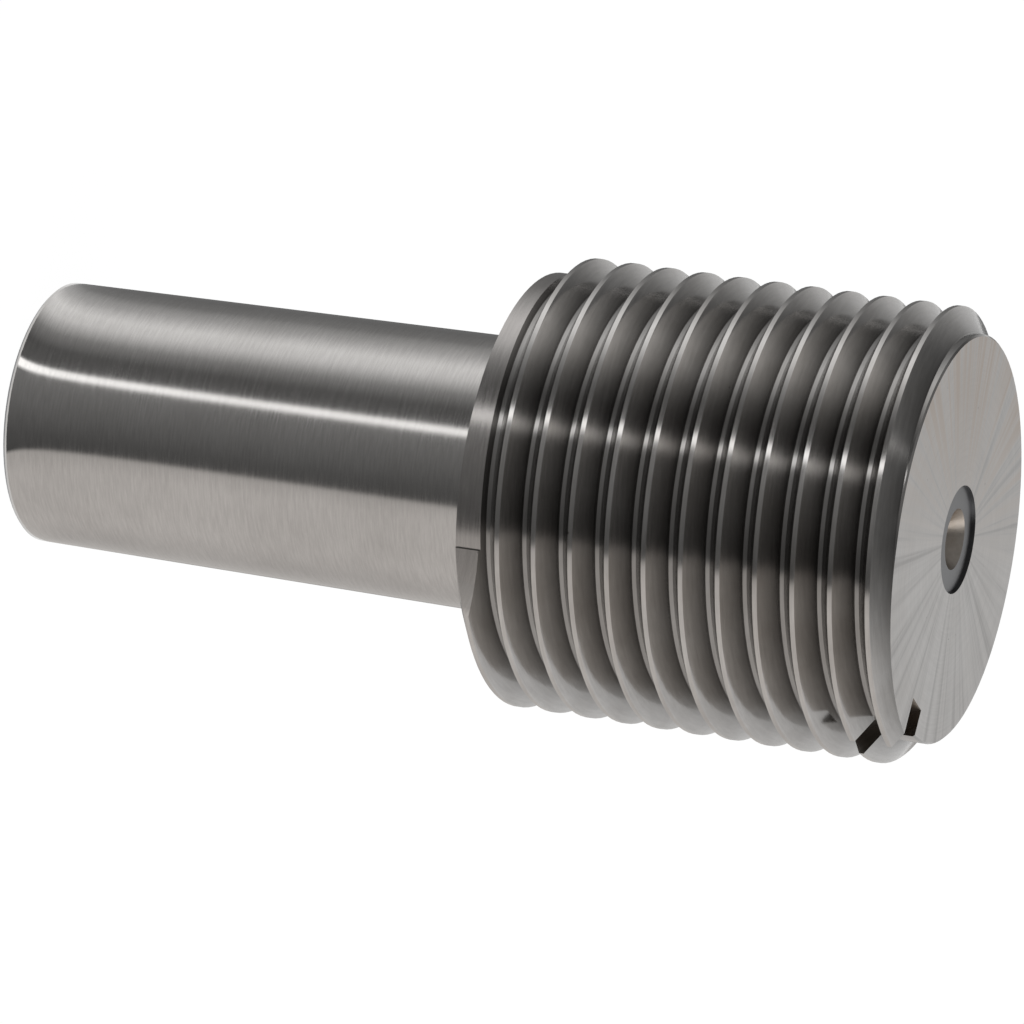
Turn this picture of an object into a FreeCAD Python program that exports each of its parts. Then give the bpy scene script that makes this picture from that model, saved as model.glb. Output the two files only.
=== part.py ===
"""GO member of a 1-12 thread plug gauge: a threaded head on a taper shank, turned and ground from one bar.

The gauge stands on the free end of its shank, with the axis along +Z and the front face of the head on top.
Azimuths are turned from +X towards +Y. All sizes are in millimetres and all angles in degrees.
"""

import FreeCAD, Part
import os
import Sketcher

# Driving dimensions: one cell of the sheet each.
DIMENSIONS = {
    # thread
    "thread_diameter": 25.4,         # major diameter, over the crests
    "thread_pitch": 2.1167,          # twelve threads to the inch
    "thread_depth": 1.4,             # crest to root
    "thread_angle": 60,              # included angle of the flanks
    "crest_flat": 0.265,             # an eighth of the pitch
    # head
    "head_length": 24.9,
    "face_edge_break": 0.1,          # small bevel round the front face
    "collar_diameter": 23.3,         # last turn at the rear, ground down to a plain collar
    "collar_turn": 275,              # how far round the collar reaches before it leaves the rear face
    "lead_in": 0.61,                 # front face to the middle of the ridge, where the thread starts
    "run_out": 0.72,                 # rear face to the middle of the ridge, where the thread ends
    # ground flat that ends the last full ridge
    "flat_distance": 11.73,          # axis to the flat
    "flat_lag": 5.3,                 # the flat's own azimuth, behind the end of the ridge
    # chip groove, cut by a thin wheel
    "groove_azimuth": 340,
    "groove_width": 1.9,
    "wheel_radius": 20.5,
    "wheel_offset": 28.2,            # wheel centre from the gauge's axis
    "wheel_rise": 8.86,              # wheel centre above the front face
    # taper shank
    "shank_length": 29.4,
    "shank_diameter": 15.56,         # at the head, the large end of the taper
    "shank_taper": 48,               # one in this much, on diameter
    "shank_edge_break": 0.16,
    # centre holes in both ends
    "centre_mouth": 6.0,
    "centre_pilot": 3.4,
    "centre_angle": 60,
    "pilot_depth": 6.5,
    "drill_angle": 118,
}

# Work that never shows: how far a swept or cut shape reaches past the surface that it has to cross.
OVERREACH = 1.5
SINK = 0.15

document = FreeCAD.newDocument("thread_plug_gauge")
sheet = document.addObject("Spreadsheet::Sheet", "sizes")
for row, (alias, number) in enumerate(DIMENSIONS.items(), start=1):
    sheet.set(f"A{row}", alias)
    sheet.set(f"B{row}", str(number))
    sheet.setAlias(f"B{row}", alias)
document.recompute()

# Lengths worked out from the sheet, as text for the expressions that bind the sketches.
CREST_RADIUS = "sizes.thread_diameter / 2"
ROOT_RADIUS = "(sizes.thread_diameter / 2 - sizes.thread_depth)"
OVERALL = "(sizes.shank_length + sizes.head_length)"
SHANK_RADIUS = "sizes.shank_diameter / 2"
SHANK_END_RADIUS = "(sizes.shank_diameter / 2 - sizes.shank_length / sizes.shank_taper / 2)"
FLANK_SLOPE = "tan(sizes.thread_angle * 0.5 * 1 deg)"
TURNS = "((sizes.head_length - sizes.lead_in - sizes.run_out) / sizes.thread_pitch)"
RIDGE_END_AZIMUTH = f"(sizes.groove_azimuth - 360 * {TURNS} + 7200)"
RIDGE_END_HEIGHT = "(sizes.shank_length + sizes.run_out)"
COLLAR_HEIGHT = f"({RIDGE_END_HEIGHT} - sizes.thread_pitch * sizes.collar_turn / 360)"
FOOT_RADIUS = f"({ROOT_RADIUS} - {SINK})"
FOOT_HALF = f"(sizes.crest_flat / 2 + (sizes.thread_depth + {SINK}) * {FLANK_SLOPE})"


def origin_feature(body, role):
    """The plane or axis of the body's own origin that has this role."""
    return next(item for item in body.Origin.OriginFeatures if item.Role == role)


def radial_sketch(body, name, azimuth=None):
    """A sketch in a plane through the axis: its x is the radius and its y the height."""
    sketch = body.newObject("Sketcher::SketchObject", name)
    sketch.AttachmentSupport = [(origin_feature(body, "XZ_Plane"), "")]
    sketch.MapMode = "FlatFace"
    if azimuth is not None:
        sketch.AttachmentOffset = FreeCAD.Placement(
            FreeCAD.Vector(), FreeCAD.Rotation(FreeCAD.Vector(0, 1, 0), 45)
        )
        sketch.setExpression(".AttachmentOffset.Rotation.Angle", f"mod({azimuth}; 360)")
    return sketch


def bind(sketch, kind, geometry, point, expression):
    """Hold one coordinate of a point at the value of an expression, or on the axis where it is None."""
    if expression is None:
        axis = -2 if kind == "DistanceX" else -1
        sketch.addConstraint(Sketcher.Constraint("PointOnObject", geometry, point, axis))
        return
    index = sketch.addConstraint(Sketcher.Constraint(kind, -1, 1, geometry, point, 1.0))
    sketch.setExpression(f"Constraints[{index}]", expression)


def outline(sketch, corners):
    """A closed outline through corners given as (radius, height) expressions."""
    count = len(corners)
    for index in range(count):
        start = FreeCAD.Vector(10 + index, 10 + index * index, 0)
        following = (index + 1) % count
        end = FreeCAD.Vector(10 + following, 10 + following * following, 0)
        sketch.addGeometry(Part.LineSegment(start, end), False)
    for index in range(count):
        sketch.addConstraint(Sketcher.Constraint("Coincident", index, 2, (index + 1) % count, 1))
    for index, (radius, height) in enumerate(corners):
        bind(sketch, "DistanceX", index, 1, radius)
        bind(sketch, "DistanceY", index, 1, height)


def turned(body, kind, name, corners):
    """Revolve an outline round the gauge's axis, as added stock or as a cut."""
    sketch = radial_sketch(body, name + "Outline")
    outline(sketch, corners)
    feature = body.newObject(kind, name)
    feature.Profile = sketch
    feature.ReferenceAxis = (sketch, ["V_Axis"])
    feature.Angle = 360
    feature.Refine = False
    sketch.Visibility = False
    return feature


def helix_sweep(body, kind, name, sketch, turns):
    """Sweep a sketch up the thread's helix, as added stock or as a cut."""
    document.recompute()
    helix = body.newObject(kind, name)
    helix.Profile = sketch
    helix.ReferenceAxis = (sketch, ["V_Axis"])
    helix.Mode = "pitch-turns-angle"
    helix.setExpression("Pitch", "sizes.thread_pitch")
    helix.setExpression("Turns", turns)
    helix.Angle = 0
    helix.LeftHanded = False
    helix.Reversed = False
    helix.Refine = False
    sketch.Visibility = False
    document.recompute()
    return helix


def slot_pocket(body, name, sketch, width):
    """Cut a sketch's shape through the solid, half to each side of the sketch's plane."""
    pocket = body.newObject("PartDesign::Pocket", name)
    pocket.Profile = sketch
    pocket.Midplane = True
    pocket.setExpression("Length", width)
    pocket.Refine = False
    sketch.Visibility = False
    document.recompute()
    return pocket


def chip_groove(body, name):
    """Sink the thin grinding wheel that makes the chip groove into the body's front face."""
    wheel = radial_sketch(body, name + "Wheel", "sizes.groove_azimuth")
    wheel.addGeometry(Part.Circle(FreeCAD.Vector(28, 60, 0), FreeCAD.Vector(0, 0, 1), 20), False)
    bind(wheel, "DistanceX", 0, 3, "sizes.wheel_offset")
    bind(wheel, "DistanceY", 0, 3, f"{OVERALL} + sizes.wheel_rise")
    radius_index = wheel.addConstraint(Sketcher.Constraint("Radius", 0, 20.0))
    wheel.setExpression(f"Constraints[{radius_index}]", "sizes.wheel_radius")
    return slot_pocket(body, name, wheel, "sizes.groove_width")


TRIM_INNER = f"({ROOT_RADIUS} - 3 * {SINK})"
TRIM_OUTER = f"({CREST_RADIUS} + {OVERREACH})"
MOUTH_RADIUS = "sizes.centre_mouth / 2"
PILOT_RADIUS = "sizes.centre_pilot / 2"
CONE_DEPTH = f"(({MOUTH_RADIUS} - {PILOT_RADIUS}) / tan(sizes.centre_angle * 0.5 * 1 deg))"
TIP_DEPTH = f"(sizes.pilot_depth + {PILOT_RADIUS} / tan(sizes.drill_angle * 0.5 * 1 deg))"

# The ridge of the thread on its own, from the start of the rear collar up to the chip groove.
thread = document.addObject("PartDesign::Body", "thread_body")
thread.Label = "thread_body"
ridge_outline = radial_sketch(thread, "RidgeSection", f"({RIDGE_END_AZIMUTH} - sizes.collar_turn)")
outline(ridge_outline, [
    (FOOT_RADIUS, f"{COLLAR_HEIGHT} - {FOOT_HALF}"),
    (CREST_RADIUS, f"{COLLAR_HEIGHT} - sizes.crest_flat / 2"),
    (CREST_RADIUS, f"{COLLAR_HEIGHT} + sizes.crest_flat / 2"),
    (FOOT_RADIUS, f"{COLLAR_HEIGHT} + {FOOT_HALF}"),
])
helix_sweep(thread, "PartDesign::AdditiveHelix", "Ridge", ridge_outline, f"({TURNS} + sizes.collar_turn / 360)")

# Behind its ground end the ridge is cut down to a low plain collar.
collar_outline = radial_sketch(thread, "CollarSection", f"({RIDGE_END_AZIMUTH} - sizes.collar_turn - 10)")
COLLAR_CUT_HEIGHT = f"({COLLAR_HEIGHT} - sizes.thread_pitch * 10 / 360)"
outline(collar_outline, [
    ("sizes.collar_diameter / 2", f"{COLLAR_CUT_HEIGHT} - sizes.thread_pitch / 2"),
    (TRIM_OUTER, f"{COLLAR_CUT_HEIGHT} - sizes.thread_pitch / 2"),
    (TRIM_OUTER, f"{COLLAR_CUT_HEIGHT} + sizes.thread_pitch / 2"),
    ("sizes.collar_diameter / 2", f"{COLLAR_CUT_HEIGHT} + sizes.thread_pitch / 2"),
])
helix_sweep(thread, "PartDesign::SubtractiveHelix", "Collar", collar_outline, "(sizes.collar_turn + 10) / 360")

# The flat that ramps the end of the last full ridge down to the collar.
flat_outline = radial_sketch(thread, "RidgeEndFlatOutline", f"({RIDGE_END_AZIMUTH} - sizes.flat_lag)")
FLAT_TOP = f"({RIDGE_END_HEIGHT} + sizes.thread_pitch / 2)"
outline(flat_outline, [
    ("sizes.flat_distance", f"sizes.shank_length - {OVERREACH}"),
    (TRIM_OUTER, f"sizes.shank_length - {OVERREACH}"),
    (TRIM_OUTER, FLAT_TOP),
    ("sizes.flat_distance", FLAT_TOP),
])
slot_pocket(thread, "RidgeEndFlat", flat_outline, CREST_RADIUS)

# The rear and front faces of the head cut the ridge off square.
turned(thread, "PartDesign::Groove", "RearFaceTrim", [
    (TRIM_INNER, f"sizes.shank_length - 2 * {OVERREACH}"),
    (TRIM_OUTER, f"sizes.shank_length - 2 * {OVERREACH}"),
    (TRIM_OUTER, "sizes.shank_length"),
    (TRIM_INNER, "sizes.shank_length"),
])
turned(thread, "PartDesign::Groove", "FrontFaceTrim", [
    (TRIM_INNER, OVERALL),
    (TRIM_OUTER, OVERALL),
    (TRIM_OUTER, f"{OVERALL} + {OVERREACH}"),
    (TRIM_INNER, f"{OVERALL} + {OVERREACH}"),
])
chip_groove(thread, "ThreadGroove")
document.recompute()

# The turned blank: taper shank, and the head at the thread's root diameter.
gauge = document.addObject("PartDesign::Body", "plug_gauge")
gauge.Label = "plug_gauge"
turned(gauge, "PartDesign::Revolution", "Blank", [
    (None, None),
    (f"{SHANK_END_RADIUS} - sizes.shank_edge_break", None),
    (SHANK_END_RADIUS, "sizes.shank_edge_break"),
    (SHANK_RADIUS, "sizes.shank_length"),
    (ROOT_RADIUS, "sizes.shank_length"),
    (ROOT_RADIUS, f"{OVERALL} - sizes.face_edge_break"),
    (f"{ROOT_RADIUS} - sizes.face_edge_break", OVERALL),
    (None, OVERALL),
])
document.recompute()

# Centre holes, drilled and countersunk in both ends for grinding between centres.
turned(gauge, "PartDesign::Groove", "FrontCentreHole", [
    (None, OVERALL),
    (MOUTH_RADIUS, OVERALL),
    (PILOT_RADIUS, f"{OVERALL} - {CONE_DEPTH}"),
    (PILOT_RADIUS, f"{OVERALL} - sizes.pilot_depth"),
    (None, f"{OVERALL} - {TIP_DEPTH}"),
])
turned(gauge, "PartDesign::Groove", "ShankCentreHole", [
    (None, None),
    (MOUTH_RADIUS, None),
    (PILOT_RADIUS, CONE_DEPTH),
    (PILOT_RADIUS, "sizes.pilot_depth"),
    (None, TIP_DEPTH),
])
chip_groove(gauge, "BlankGroove")
document.recompute()

# The blank and its ridge are one piece of steel.
whole = gauge.newObject("PartDesign::Boolean", "Whole")
whole.Type = "Fuse"
whole.Refine = False
whole.setObjects([thread])
document.recompute()

for item in document.Objects:
    faults = [state for state in item.State if state in ("Invalid", "Error")]
    if faults:
        raise RuntimeError(f"{item.Name} is {faults}")

parts = [gauge]
for part in parts:
    if part.Shape.isNull() or not part.Shape.isValid():
        raise RuntimeError(f"{part.Label} has no valid shape")
    print(part.Label, "solids", len(part.Shape.Solids), "volume", round(part.Shape.Volume, 2))

os.makedirs("parts", exist_ok=True)
for part in parts:
    part.Shape.exportStep(f"parts/{part.Label}.step")
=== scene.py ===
import math

import bmesh
import bpy
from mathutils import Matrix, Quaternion, Vector


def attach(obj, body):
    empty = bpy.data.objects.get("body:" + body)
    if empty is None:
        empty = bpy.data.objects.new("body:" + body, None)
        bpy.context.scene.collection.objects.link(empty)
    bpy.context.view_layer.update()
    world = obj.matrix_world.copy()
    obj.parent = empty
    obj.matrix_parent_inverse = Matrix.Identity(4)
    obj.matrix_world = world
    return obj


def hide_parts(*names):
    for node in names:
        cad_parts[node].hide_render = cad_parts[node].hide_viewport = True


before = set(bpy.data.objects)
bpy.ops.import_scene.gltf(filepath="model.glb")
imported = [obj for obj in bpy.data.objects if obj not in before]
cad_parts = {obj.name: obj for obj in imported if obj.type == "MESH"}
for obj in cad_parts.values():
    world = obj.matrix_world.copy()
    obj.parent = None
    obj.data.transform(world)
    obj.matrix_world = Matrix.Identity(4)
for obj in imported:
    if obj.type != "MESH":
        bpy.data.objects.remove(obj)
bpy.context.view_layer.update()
MM = 0.001

# ---------------------------------------------------------------------------
# Grinding and turning marks. Every face of the gauge is machined about its axis, so its marks are fine
# rings that run round, with faint blotches of oil and handling over them.
# ---------------------------------------------------------------------------


def group_socket(tree, name, direction, kind="NodeSocketFloat", value=None):
    """A named input or output of a shader node group."""
    socket = tree.interface.new_socket(name=name, in_out=direction, socket_type=kind)
    if value is not None:
        socket.default_value = value
    return socket


def link(tree, start, end):
    """Join an output socket to an input socket."""
    tree.links.new(start, end)


def math_node(tree, operation, first, second=None, clamp=False):
    """A math node whose inputs are numbers or other nodes' outputs."""
    node = tree.nodes.new("ShaderNodeMath")
    node.operation = operation
    node.use_clamp = clamp
    for index, value in enumerate((first, second)):
        if value is None:
            continue
        if isinstance(value, (int, float)):
            node.inputs[index].default_value = value
        else:
            link(tree, value, node.inputs[index])
    return node.outputs[0]


def noise_node(tree, vector, scale, detail=2.0, roughness=0.5):
    """A noise texture read at a vector."""
    node = tree.nodes.new("ShaderNodeTexNoise")
    node.inputs["Scale"].default_value = scale
    node.inputs["Detail"].default_value = detail
    node.inputs["Roughness"].default_value = roughness
    link(tree, vector, node.inputs["Vector"])
    return node.outputs["Fac"]


def ramp_node(tree, value, stops, interpolation="LINEAR"):
    """A colour ramp through (position, colour) stops, where a colour may be one grey number."""
    node = tree.nodes.new("ShaderNodeValToRGB")
    ramp = node.color_ramp
    ramp.interpolation = interpolation
    while len(ramp.elements) > 1:
        ramp.elements.remove(ramp.elements[-1])
    for index, (position, tone) in enumerate(stops):
        element = ramp.elements[0] if index == 0 else ramp.elements.new(position)
        element.position = position
        colour = (tone, tone, tone) if isinstance(tone, (int, float)) else tone
        element.color = (*colour, 1.0)
    link(tree, value, node.inputs["Fac"])
    return node.outputs["Color"]


def mix_colours(tree, factor, first, second, blend="MIX"):
    """A colour mix whose inputs are colours, numbers or other nodes' outputs."""
    node = tree.nodes.new("ShaderNodeMix")
    node.data_type = "RGBA"
    node.blend_type = blend
    for socket, value in ((node.inputs[0], factor), (node.inputs[6], first), (node.inputs[7], second)):
        if isinstance(value, (int, float)):
            socket.default_value = value
        elif isinstance(value, tuple):
            socket.default_value = (*value, 1.0)
        else:
            link(tree, value, socket)
    return node.outputs[2]


def combine(tree, x, y, z):
    """A vector put together from numbers or outputs."""
    node = tree.nodes.new("ShaderNodeCombineXYZ")
    for index, value in enumerate((x, y, z)):
        if isinstance(value, (int, float)):
            node.inputs[index].default_value = value
        else:
            link(tree, value, node.inputs[index])
    return node.outputs[0]


STREAKS_AROUND = 14.0
STREAKS_ALONG = 40.0
BLOTCH_SCALE = 140.0
SPECK_SCALE = 1700.0
NEAREST_TO_AXIS = 0.01 * MM


def marks_group():
    """Ring marks and blotches in cylindrical coordinates about the gauge's axis."""
    tree = bpy.data.node_groups.new("ring_marks", "ShaderNodeTree")
    group_socket(tree, "Object Position", "INPUT", "NodeSocketVector")
    group_socket(tree, "Rings Along Axis", "INPUT", value=9000.0)
    group_socket(tree, "Rings Across Radius", "INPUT", value=9000.0)
    group_socket(tree, "Marks Around", "INPUT", value=6.0)
    group_socket(tree, "Rings", "OUTPUT")
    group_socket(tree, "Streaks", "OUTPUT")
    group_socket(tree, "Blotches", "OUTPUT")
    group_socket(tree, "Specks", "OUTPUT")
    group_socket(tree, "Radius", "OUTPUT")
    entry = tree.nodes.new("NodeGroupInput")
    leaving = tree.nodes.new("NodeGroupOutput")
    split = tree.nodes.new("ShaderNodeSeparateXYZ")
    link(tree, entry.outputs["Object Position"], split.inputs[0])
    x, y, z = split.outputs
    radius = math_node(tree, "SQRT", math_node(
        tree, "ADD", math_node(tree, "MULTIPLY", x, x), math_node(tree, "MULTIPLY", y, y)
    ))
    safe_radius = math_node(tree, "MAXIMUM", radius, NEAREST_TO_AXIS)
    around_x = math_node(tree, "DIVIDE", x, safe_radius)
    around_y = math_node(tree, "DIVIDE", y, safe_radius)
    lengthwise = math_node(
        tree, "ADD",
        math_node(tree, "MULTIPLY", z, entry.outputs["Rings Along Axis"]),
        math_node(tree, "MULTIPLY", radius, entry.outputs["Rings Across Radius"]),
    )
    ring_vector = combine(
        tree,
        math_node(tree, "MULTIPLY", around_x, entry.outputs["Marks Around"]),
        math_node(tree, "MULTIPLY", around_y, entry.outputs["Marks Around"]),
        lengthwise,
    )
    link(tree, noise_node(tree, ring_vector, 1.0, 3.0, 0.6), leaving.inputs["Rings"])
    streak_vector = combine(
        tree,
        math_node(tree, "MULTIPLY", around_x, STREAKS_AROUND),
        math_node(tree, "MULTIPLY", around_y, STREAKS_AROUND),
        math_node(tree, "MULTIPLY", math_node(tree, "ADD", radius, z), STREAKS_ALONG),
    )
    link(tree, noise_node(tree, streak_vector, 1.0, 4.0, 0.65), leaving.inputs["Streaks"])
    place = entry.outputs["Object Position"]
    link(tree, noise_node(tree, place, BLOTCH_SCALE, 5.0, 0.6), leaving.inputs["Blotches"])
    link(tree, noise_node(tree, place, SPECK_SCALE, 2.0, 0.5), leaving.inputs["Specks"])
    link(tree, radius, leaving.inputs["Radius"])
    return tree


ring_marks = marks_group()
STEEL_LIGHT = (0.57, 0.555, 0.54)
STAIN = (0.20, 0.145, 0.10)
SPECK = (0.07, 0.06, 0.05)


BLOTCH_STOPS = ((0.35, 0.0), (0.7, 1.0))
RING_STOPS = ((0.3, 0.86), (0.7, 1.0))
SPECK_SOFTNESS = 0.03
MARK_HEIGHT = 0.01 * MM


def steel_material(
    name, light, dull, roughness, rough_spread, bump, rings_along, rings_across, around=6.0, speck_level=0.76
):
    """Bare steel with ring marks: the material, its tree, its shader, its marks node and its base colour."""
    material = bpy.data.materials.new(name)
    material.use_nodes = True
    tree = material.node_tree
    shader = tree.nodes["Principled BSDF"]
    shader.inputs["Metallic"].default_value = 1.0
    coordinates = tree.nodes.new("ShaderNodeTexCoord")
    marks = tree.nodes.new("ShaderNodeGroup")
    marks.node_tree = ring_marks
    marks.inputs["Rings Along Axis"].default_value = rings_along
    marks.inputs["Rings Across Radius"].default_value = rings_across
    marks.inputs["Marks Around"].default_value = around
    link(tree, coordinates.outputs["Object"], marks.inputs["Object Position"])
    blotch = ramp_node(tree, marks.outputs["Blotches"], BLOTCH_STOPS)
    tone = mix_colours(tree, blotch, light, dull)
    ring_tone = ramp_node(tree, marks.outputs["Rings"], RING_STOPS)
    tone = mix_colours(tree, 1.0, tone, ring_tone, "MULTIPLY")
    speck_stops = ((speck_level, 0.0), (speck_level + SPECK_SOFTNESS, 1.0))
    speck = ramp_node(tree, marks.outputs["Specks"], speck_stops)
    tone = mix_colours(tree, speck, tone, SPECK)
    rough = math_node(tree, "MULTIPLY_ADD", marks.outputs["Rings"], rough_spread)
    rough.node.inputs[2].default_value = roughness - 0.5 * rough_spread
    link(tree, rough, shader.inputs["Roughness"])
    bumps = tree.nodes.new("ShaderNodeBump")
    bumps.inputs["Strength"].default_value = bump
    bumps.inputs["Distance"].default_value = MARK_HEIGHT
    link(tree, marks.outputs["Rings"], bumps.inputs["Height"])
    link(tree, bumps.outputs["Normal"], shader.inputs["Normal"])
    link(tree, tone, shader.inputs["Base Color"])
    return material, tree, shader, marks, tone


# ---------------------------------------------------------------------------
# The gauge member: one piece of hardened steel, turned, ground between centres and thread-ground.
# Its shank is a finely ground taper, its thread has painted shade down towards the root, and its collar was
# ground last.
# ---------------------------------------------------------------------------
gauge_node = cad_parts["plug_gauge"]
SHANK_TOP = 29.4 * MM
FRONT = 54.3 * MM
HOLE_REACH = 10 * MM
GROOVE_REACH = 6 * MM
GROOVE_HALF_ANGLE = math.radians(9)
MERGE = 0.002 * MM
CREST_RADIUS = 12.7 * MM
ROOT_RADIUS = 11.3 * MM
MOUTH_RADIUS = 3.0 * MM
PILOT_RADIUS = 1.7 * MM
GROOVE_DIRECTION = Vector((math.cos(math.radians(340)), math.sin(math.radians(340)), 0))
SHARP_ANGLE = math.radians(28)

shank_steel = steel_material(
    "ground_shank", light=STEEL_LIGHT, dull=(0.51, 0.495, 0.48), roughness=0.15, rough_spread=0.10, bump=0.22,
    rings_along=9000.0, rings_across=0.0, speck_level=0.80,
)[0]

# Painted shade: the thread's colour darkens from its crest down its flanks into the recess, and is a little
# paler again along the root.
ROOT_SHADE_STOPS = ((0.0, 0.62), (0.03, 0.40), (0.10, 0.50), (0.5, 0.72), (0.93, 0.92), (0.97, 1.0))
thread_steel, tree, shader, marks, tone = steel_material(
    "ground_thread", light=(0.62, 0.605, 0.59), dull=(0.50, 0.48, 0.46), roughness=0.15, rough_spread=0.08,
    bump=0.25, rings_along=6000.0, rings_across=9000.0, speck_level=0.80,
)
height = math_node(
    tree, "DIVIDE", math_node(tree, "SUBTRACT", marks.outputs["Radius"], ROOT_RADIUS),
    CREST_RADIUS - ROOT_RADIUS, clamp=True,
)
# The painted shade, read by height above the root, is multiplied into the thread's colour.
painted_root_shade = ramp_node(tree, height, ROOT_SHADE_STOPS)
link(tree, mix_colours(tree, 1.0, tone, painted_root_shade, "MULTIPLY"), shader.inputs["Base Color"])

collar_steel = steel_material(
    "ground_collar", light=(0.50, 0.48, 0.465), dull=(0.42, 0.40, 0.385), roughness=0.21, rough_spread=0.12,
    bump=0.45, rings_along=7000.0, rings_across=7000.0,
)[0]

# The front face has painted reflection streaks that fan out from its centre, standing in for the glints off
# its fine turning rings, and browns towards -X.
BROWN_WIDTH = 9 * MM
face_steel, tree, shader, marks, tone = steel_material(
    "lapped_face", light=(0.60, 0.585, 0.57), dull=(0.54, 0.52, 0.50), roughness=0.30, rough_spread=0.10,
    bump=0.3, rings_along=0.0, rings_across=7000.0, around=3.0, speck_level=0.78,
)
# Painted reflection: fanning streaks multiplied into the face's colour.
painted_reflection_streaks = ramp_node(tree, marks.outputs["Streaks"], [(0.32, 0.72), (0.46, 0.92), (0.62, 1.0)])
tone = mix_colours(tree, 1.0, tone, painted_reflection_streaks, "MULTIPLY")
across_face = tree.nodes.new("ShaderNodeSeparateXYZ")
link(tree, marks.inputs["Object Position"].links[0].from_socket, across_face.inputs[0])
handled_side = math_node(tree, "MULTIPLY_ADD", across_face.outputs[0], -1.0 / BROWN_WIDTH, clamp=True)
handled_side.node.inputs[2].default_value = 0.15
brown = ramp_node(tree, marks.outputs["Streaks"], [(0.40, 0.0), (0.58, 0.75)])
brown = math_node(tree, "MULTIPLY", brown, handled_side)
link(tree, mix_colours(tree, brown, tone, (0.40, 0.325, 0.265)), shader.inputs["Base Color"])

# Painted shade: the centre hole's cone and recess, and the chamfer at the shank's foot, are coloured dark to
# stand in for the dark reflections there.
shaded_cone_steel = steel_material(
    "centre_cone_painted_shade", light=(0.175, 0.175, 0.18), dull=(0.14, 0.14, 0.14), roughness=0.32, rough_spread=0.10,
    bump=0.3, rings_along=3000.0, rings_across=3000.0,
)[0]

pilot_steel, tree, shader, marks, tone = steel_material(
    "centre_pilot", light=(0.42, 0.38, 0.34), dull=(0.30, 0.26, 0.22), roughness=0.38, rough_spread=0.15,
    bump=0.5, rings_along=3000.0, rings_across=3000.0,
)
rust = ramp_node(tree, marks.outputs["Blotches"], [(0.42, 0.0), (0.62, 0.8)])
link(tree, mix_colours(tree, rust, tone, STAIN), shader.inputs["Base Color"])

groove_steel, tree, shader, marks, tone = steel_material(
    "chip_groove", light=(0.24, 0.22, 0.20), dull=(0.18, 0.155, 0.13), roughness=0.30, rough_spread=0.12,
    bump=0.4, rings_along=4000.0, rings_across=4000.0,
)
rust = ramp_node(tree, marks.outputs["Blotches"], [(0.40, 0.0), (0.65, 0.75)])
link(tree, mix_colours(tree, rust, tone, (0.30, 0.22, 0.15)), shader.inputs["Base Color"])

FINISHES = (shank_steel, thread_steel, collar_steel, face_steel, pilot_steel, groove_steel, shaded_cone_steel)
SHANK, THREAD, COLLAR, FACE, PILOT, GROOVE, CONE = range(len(FINISHES))


def finish_of(face):
    """Which finish a face of the gauge has, from where it is and which way it looks."""
    centre = face.calc_center_median()
    radius = math.hypot(centre.x, centre.y)
    outward = Vector((centre.x, centre.y, 0)).normalized()
    facing_out = face.normal.dot(outward)
    if radius < PILOT_RADIUS and FRONT - centre.z > 1 * MM and centre.z > 1 * MM:
        return PILOT
    if radius < MOUTH_RADIUS and abs(face.normal.z) < 0.9:
        return CONE
    if centre.z < SHANK_TOP - 0.05 * MM:
        # The chamfer at the shank's end takes the cone's painted shade.
        return SHANK if facing_out > 0.9 else CONE if facing_out > 0.5 else FACE
    if face.normal.z > 0.98:
        return FACE
    if face.normal.z < -0.98:
        return COLLAR
    in_line_with_groove = outward.dot(GROOVE_DIRECTION) > math.cos(GROOVE_HALF_ANGLE)
    near_groove = in_line_with_groove and centre.z > FRONT - GROOVE_REACH
    on_groove_floor = 0.72 < facing_out < 0.96 and 0.25 < face.normal.z < 0.70
    if near_groove and (radius < ROOT_RADIUS - 0.12 * MM or abs(facing_out) < 0.25 or on_groove_floor):
        return GROOVE
    if facing_out > 0.97 and ROOT_RADIUS + 0.05 * MM < radius < CREST_RADIUS - 0.1 * MM:
        return COLLAR
    return THREAD


# Each centre hole, from its rim down: (radius, depth, finish). A shallow recess keeps the cone's rim from
# knocks, the 60 degree cone seats the machine's centre, and the pilot below it ends in a drill point.
CENTRE_HOLE = (
    (3.0 * MM, 0.2 * MM, CONE),
    (1.7 * MM, 0.2 * MM, CONE),
    (0.8 * MM, 1.76 * MM, PILOT),
    (0.8 * MM, 4.0 * MM, PILOT),
    (0.0, 4.5 * MM, PILOT),
)


def sink_centre_hole(shape, level, inward):
    """Rebuild the centre hole in the end face at a level, step by step down from its rim."""
    old = [face for face in shape.faces if face.material_index in (CONE, PILOT)
           and math.hypot(*face.calc_center_median()[:2]) < MOUTH_RADIUS
           and abs(face.calc_center_median().z - level) < HOLE_REACH]
    bmesh.ops.delete(shape, geom=old, context="FACES")
    loop = [edge for edge in shape.edges if edge.is_boundary
            and all(math.hypot(*corner.co[:2]) < MOUTH_RADIUS + 0.1 * MM for corner in edge.verts)
            and all(abs(corner.co.z - level) < 0.01 * MM for corner in edge.verts)]
    last_radius, last_depth = MOUTH_RADIUS, 0.0
    for radius, depth, finish in CENTRE_HOLE:
        grown = bmesh.ops.extrude_edge_only(shape, edges=loop)["geom"]
        corners = [part for part in grown if isinstance(part, bmesh.types.BMVert)]
        loop = [part for part in grown if isinstance(part, bmesh.types.BMEdge)]
        for part in grown:
            if isinstance(part, bmesh.types.BMFace):
                part.material_index = finish
        bmesh.ops.scale(shape, verts=corners, vec=(radius / last_radius, radius / last_radius, 1))
        bmesh.ops.translate(shape, verts=corners, vec=(0, 0, inward * (depth - last_depth)))
        last_radius, last_depth = radius, depth


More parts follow.
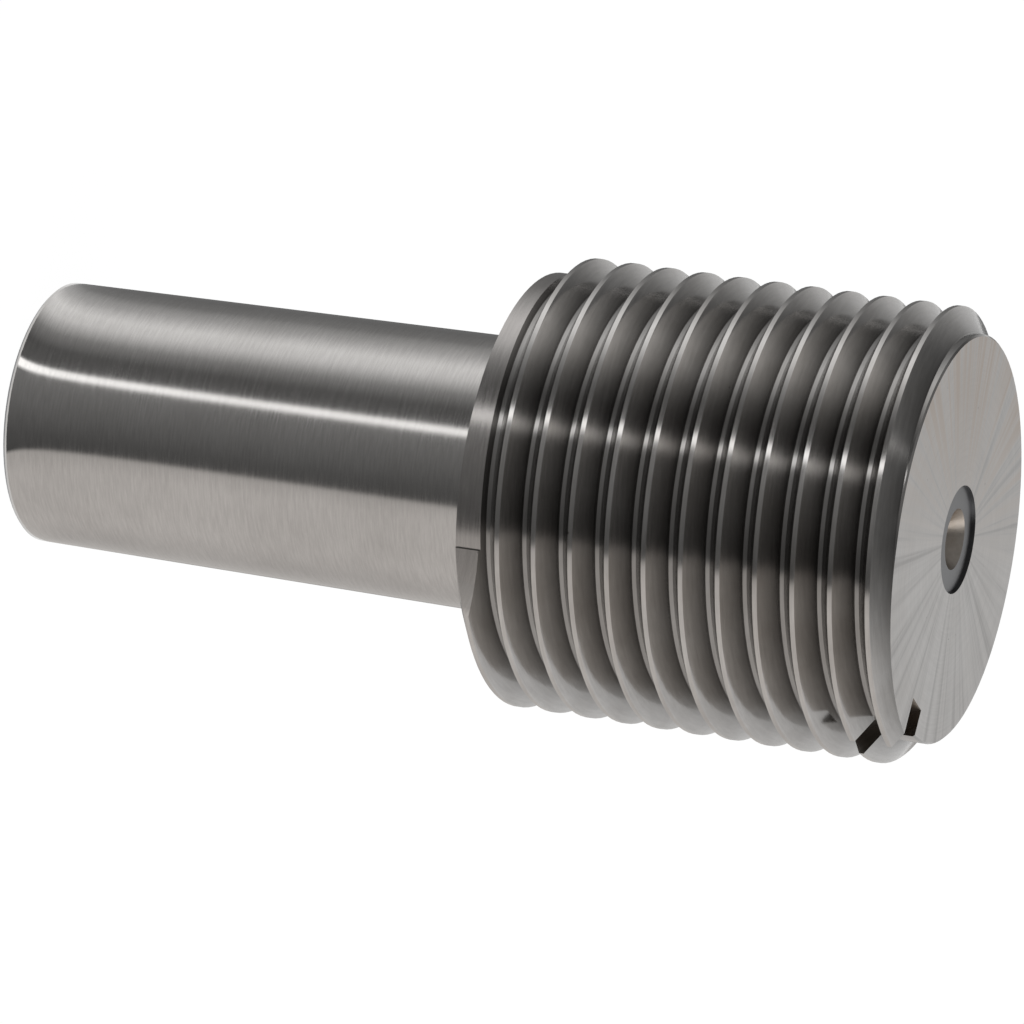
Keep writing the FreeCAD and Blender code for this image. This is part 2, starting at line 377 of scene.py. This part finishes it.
mesh = bpy.data.meshes.new("gauge_member")
shape = bmesh.new()
shape.from_mesh(gauge_node.data)
bmesh.ops.remove_doubles(shape, verts=shape.verts, dist=MERGE)
for face in shape.faces:
    face.material_index = finish_of(face)
sink_centre_hole(shape, FRONT, -1)
sink_centre_hole(shape, 0.0, 1)
bmesh.ops.remove_doubles(shape, verts=shape.verts, dist=MERGE)
bmesh.ops.recalc_face_normals(shape, faces=shape.faces)
for face in shape.faces:
    face.smooth = True
for edge in shape.edges:
    edge.smooth = edge.is_manifold and edge.calc_face_angle(0.0) < SHARP_ANGLE
shape.to_mesh(mesh)
shape.free()
for finish in FINISHES:
    mesh.materials.append(finish)
gauge = bpy.data.objects.new("gauge_member", mesh)
bpy.context.scene.collection.objects.link(gauge)
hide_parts("plug_gauge")
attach(gauge, "root")

# ---------------------------------------------------------------------------
# Floor, reflector, sky and lamps. The floor is plain and pale, and its glow leaves no shadow that shows. A
# graded reflector lies on it round the gauge, seen only by polished steel, as cards round a studio table are.
# ---------------------------------------------------------------------------
FLOOR_SIZE = 6.0
FLOOR_GLOW = 1.06
GLOW_SHARE = 0.93
floor_mesh = bpy.data.meshes.new("floor")
shape = bmesh.new()
bmesh.ops.create_grid(shape, x_segments=1, y_segments=1, size=FLOOR_SIZE / 2)
shape.to_mesh(floor_mesh)
shape.free()
floor = bpy.data.objects.new("floor", floor_mesh)
bpy.context.scene.collection.objects.link(floor)


def seen_directly(tree):
    """One where a ray is from the camera, or from a mirror or glass."""
    path = tree.nodes.new("ShaderNodeLightPath")
    shown = math_node(tree, "ADD", path.outputs["Is Camera Ray"], path.outputs["Is Glossy Ray"], clamp=True)
    return math_node(tree, "ADD", shown, path.outputs["Is Transmission Ray"], clamp=True)


floor_paint = bpy.data.materials.new("floor")
floor_paint.use_nodes = True
tree = floor_paint.node_tree
shader = tree.nodes["Principled BSDF"]
shader.inputs["Base Color"].default_value = (0.86, 0.86, 0.86, 1)
shader.inputs["Roughness"].default_value = 0.9
shader.inputs["Specular IOR Level"].default_value = 0.0
glow = tree.nodes.new("ShaderNodeEmission")
glow.inputs["Strength"].default_value = FLOOR_GLOW
blend = tree.nodes.new("ShaderNodeMixShader")
link(tree, math_node(tree, "MULTIPLY", seen_directly(tree), GLOW_SHARE), blend.inputs[0])
link(tree, shader.outputs[0], blend.inputs[1])
link(tree, glow.outputs[0], blend.inputs[2])
link(tree, blend.outputs[0], tree.nodes["Material Output"].inputs["Surface"])
floor_mesh.materials.append(floor_paint)

REFLECTOR_INNER = 7.6 * MM
SHANK_RADIUS = 7.5 * MM
REFLECTOR_OUTER = 900 * MM
reflector_mesh = bpy.data.meshes.new("reflector")
shape = bmesh.new()
bmesh.ops.create_circle(shape, cap_ends=False, radius=REFLECTOR_OUTER, segments=96)
ring = bmesh.ops.extrude_edge_only(shape, edges=shape.edges[:])
inner = [part for part in ring["geom"] if isinstance(part, bmesh.types.BMVert)]
inner_share = REFLECTOR_INNER / REFLECTOR_OUTER
bmesh.ops.scale(shape, verts=inner, vec=(inner_share, inner_share, 1))
bmesh.ops.translate(shape, verts=shape.verts, vec=(0, 0, 0.2 * MM))
shape.to_mesh(reflector_mesh)
shape.free()
reflector = bpy.data.objects.new("reflector", reflector_mesh)
bpy.context.scene.collection.objects.link(reflector)
for hidden in (
    "visible_camera", "visible_diffuse", "visible_transmission", "visible_shadow", "visible_volume_scatter",
):
    setattr(reflector, hidden, False)
reflector_paint = bpy.data.materials.new("reflector")
reflector_paint.use_nodes = True
tree = reflector_paint.node_tree
tree.nodes.remove(tree.nodes["Principled BSDF"])
coordinates = tree.nodes.new("ShaderNodeTexCoord")
split = tree.nodes.new("ShaderNodeSeparateXYZ")
link(tree, coordinates.outputs["Object"], split.inputs[0])
azimuth = math_node(tree, "ARCTAN2", split.outputs[0], math_node(tree, "MULTIPLY", split.outputs[1], -1.0))
distance = math_node(tree, "SQRT", math_node(
    tree, "ADD", math_node(tree, "MULTIPLY", split.outputs[0], split.outputs[0]),
    math_node(tree, "MULTIPLY", split.outputs[1], split.outputs[1])))
# Rays leave the round shank from its side, so bands that are to look straight on it bend in towards its foot.
lean = math_node(tree, "MULTIPLY", math_node(tree, "SINE", math_node(tree, "MULTIPLY", azimuth, 0.5)),
                 math_node(tree, "DIVIDE", SHANK_RADIUS, distance))
turn = math_node(tree, "MULTIPLY_ADD", math_node(tree, "ADD", azimuth, lean), 1.0 / (2.0 * math.pi))
turn.node.inputs[2].default_value = 0.5
REFLECTOR_TONES = (
    (-180, 0.16), (-150, 0.18), (-130, 0.26), (-108, 0.62), (-92, 1.1), (-80, 0.98), (-64, 0.34), (-50, 0.13),
    (-34, 0.15), (-32.5, 1.9), (-28, 1.9), (-26, 0.28), (0, 0.19), (20, 0.12), (31, 0.10), (33.5, 0.64),
    (48, 0.74), (100, 0.74), (130, 0.62), (165, 0.60), (180, 0.16),
)
WARM = (1.0, 0.965, 0.935)
stops = [((angle + 180) / 360, tuple(level * tint for tint in (WARM if angle > 32 else (1, 1, 1))))
         for angle, level in REFLECTOR_TONES]
glow = tree.nodes.new("ShaderNodeEmission")
link(tree, ramp_node(tree, turn, stops), glow.inputs["Color"])
link(tree, glow.outputs[0], tree.nodes["Material Output"].inputs["Surface"])
reflector_mesh.materials.append(reflector_paint)

SKY_TONES = ((0.0, 0.30), (0.22, 0.28), (0.32, 0.16), (0.46, 0.13), (0.56, 0.28), (0.72, 0.66), (1.0, 0.72))
world = bpy.data.worlds.new("studio")
bpy.context.scene.world = world
world.use_nodes = True
tree = world.node_tree
backdrop = tree.nodes["Background"]
coordinates = tree.nodes.new("ShaderNodeTexCoord")
split = tree.nodes.new("ShaderNodeSeparateXYZ")
link(tree, coordinates.outputs["Generated"], split.inputs[0])
side = math_node(tree, "ADD", split.outputs[0], math_node(tree, "MULTIPLY", split.outputs[1], 0.8))
side = math_node(tree, "ADD", side, math_node(tree, "MULTIPLY", split.outputs[2], -0.3))
side = math_node(tree, "MULTIPLY_ADD", side, 0.5)
side.node.inputs[2].default_value = 0.5
sky = ramp_node(tree, side, SKY_TONES)
path = tree.nodes.new("ShaderNodeLightPath")
link(tree, mix_colours(tree, path.outputs["Is Camera Ray"], sky, (1.0, 1.0, 1.0)), backdrop.inputs["Color"])
backdrop.inputs["Strength"].default_value = 1.0


def softbox(name, place, target, size, power):
    """A square soft lamp at a place, turned to a target."""
    lamp = bpy.data.lights.new(name, "AREA")
    lamp.shape = "SQUARE"
    lamp.size = size
    lamp.energy = power
    holder = bpy.data.objects.new(name, lamp)
    holder.location = place
    holder.rotation_euler = (Vector(target) - Vector(place)).to_track_quat("-Z", "Y").to_euler()
    bpy.context.scene.collection.objects.link(holder)


softbox("side_light", (0.85, -0.25, 0.45), (0, 0, 0.03), 0.6, 1.8)
softbox("strip_light", (-0.27, 0.325, 0.907), (0, 0, 0.04), 0.035, 0.006)

# ---------------------------------------------------------------------------
# The camera, a long lens rolled on its side, so that the standing gauge lies across the frame.
# ---------------------------------------------------------------------------
CAMERA_PLACE = Vector((0.0, -0.35151, 0.15871))
CAMERA_AIM = Vector((0.00194, -0.00771, 0.03119))
CAMERA_ROLL = math.radians(98.218)
lens = bpy.data.cameras.new("camera")
lens.lens = 235.5
lens.sensor_width = 36.0
lens.clip_start = 0.01
camera = bpy.data.objects.new("camera", lens)
camera.location = CAMERA_PLACE
camera.rotation_mode = "QUATERNION"
camera.rotation_quaternion = (
    (CAMERA_AIM - CAMERA_PLACE).to_track_quat("-Z", "Y") @ Quaternion((0, 0, 1), CAMERA_ROLL)
)
bpy.context.scene.collection.objects.link(camera)
bpy.context.scene.camera = camera
bpy.context.scene.view_settings.view_transform = "Standard"
